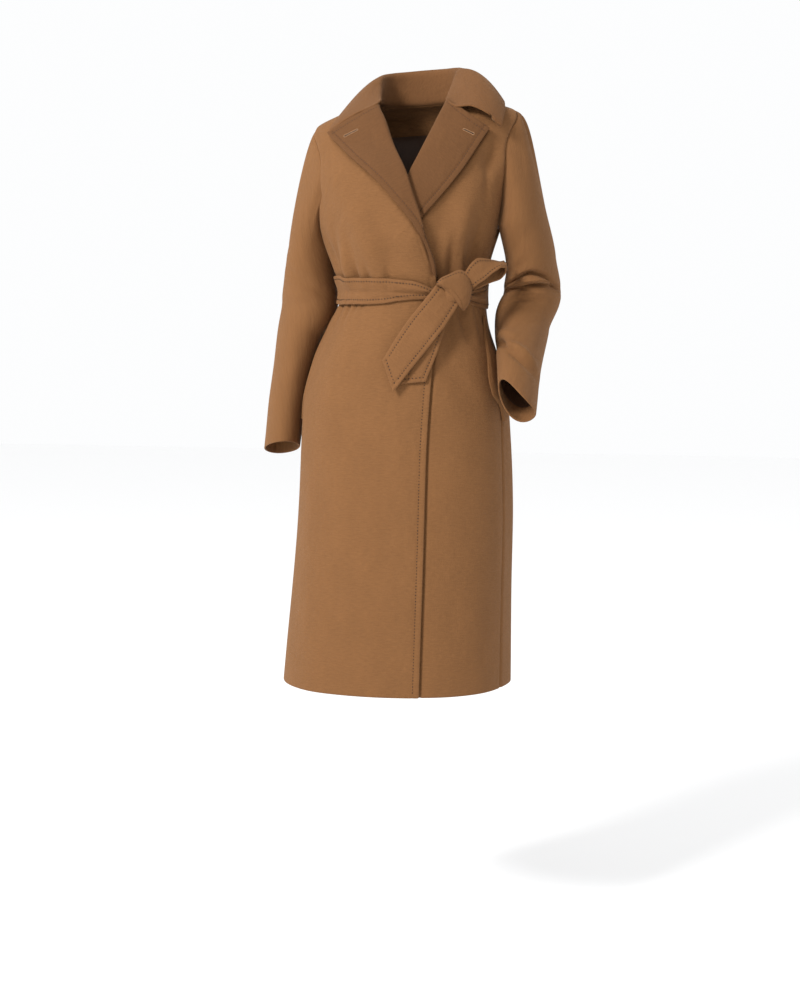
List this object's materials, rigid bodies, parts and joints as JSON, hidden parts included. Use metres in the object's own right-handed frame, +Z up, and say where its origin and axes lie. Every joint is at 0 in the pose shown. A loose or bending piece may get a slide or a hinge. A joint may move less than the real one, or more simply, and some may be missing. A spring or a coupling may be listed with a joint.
{
  "type": "wrap coat",
  "caption": "Knee-length double-wrap wool coat in its worn form, with notched lapels, a tie belt in a half bow, slanted welt pockets and one bent sleeve.",
  "frame": {"origin": "middle of the neck opening at the height of the shoulder seams' inner ends, where the wearer's shoulders hold the coat", "axes": "+Z up, the front faces -Y, the wearer's left is +X"},
  "size_m": [0.5288, 0.333, 1.0773],
  "materials": {
    "wool": "camel-brown wool cloth with a smooth short nap",
    "wool_collar": "the same wool cloth on the collar and lapel facings, a little deeper in tone",
    "wool_belt": "the same wool cloth, folded double and pressed"
  },
  "bodies": {
    "root": {"front_right": "wool", "front_left": "wool", "back": "wool", "sleeve_right": "wool", "sleeve_left": "wool", "lapel_right": "wool_collar", "lapel_left": "wool_collar", "collar": "wool_collar", "welt_right": "wool", "welt_left": "wool", "belt_band": "wool_belt", "belt_knot": "wool_belt", "belt_loop": "wool_belt", "belt_tail_front": "wool_belt", "belt_tail_rear": "wool_belt"}
  },
  "joints": []
}
